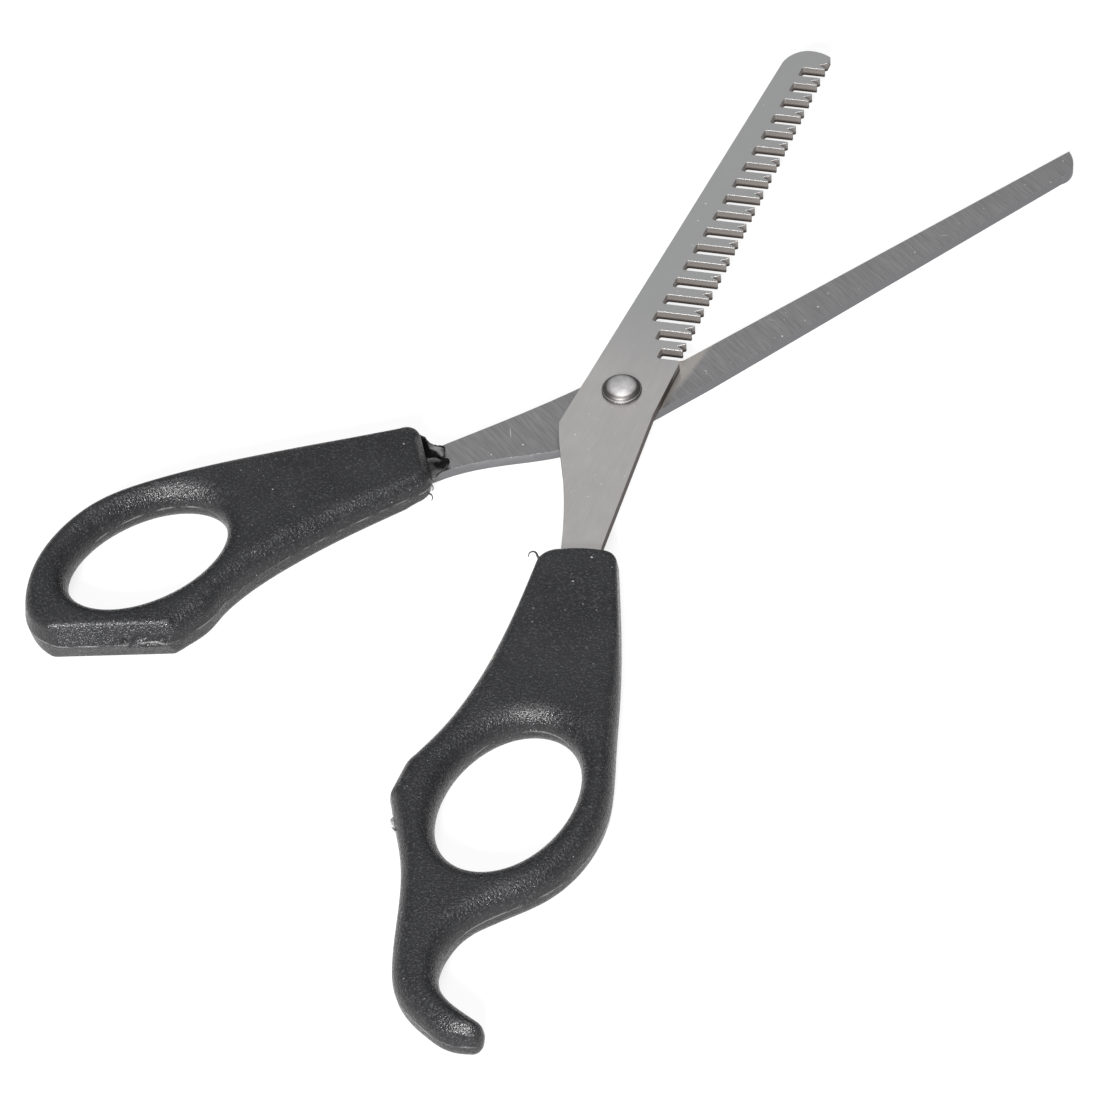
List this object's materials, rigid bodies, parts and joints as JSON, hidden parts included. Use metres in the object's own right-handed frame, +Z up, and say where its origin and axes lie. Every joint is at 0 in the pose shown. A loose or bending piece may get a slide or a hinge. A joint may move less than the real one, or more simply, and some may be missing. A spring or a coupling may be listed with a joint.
{
  "type": "thinning shears",
  "caption": "Hairdresser's thinning shears: a toothed blade and a straight blade turning on a domed rivet, with black moulded ring handles and a hooked finger rest.",
  "frame": {"origin": "centre of the bounding box's base: the plane the shears lie on, below the middle of the open shears", "axes": "+Z up, along the rivet, out of the toothed blade's face; +Y from the handles to the blade tips, halfway between the open blades; +X towards the finger handle's side"},
  "size_m": [0.0956, 0.1666, 0.0068],
  "materials": {
    "blade_steel": "satin ground",
    "rivet_steel": "polished",
    "handle_plastic": "fine matt grain"
  },
  "bodies": {
    "finger_half": {"toothed_blade": "blade_steel", "finger_handle": "handle_plastic", "pivot_rivet": "rivet_steel", "pivot_washer": "rivet_steel"},
    "thumb_half": {"straight_blade": "blade_steel", "thumb_handle": "handle_plastic"}
  },
  "joints": [
    {"name": "blade_pivot", "type": "hinge", "parent": "finger_half", "child": "thumb_half", "pos_m": [-0.00591, 0.0104, 0.003], "axis": [0, 0, 1], "range_deg": [-110, 30.5]}
  ]
}
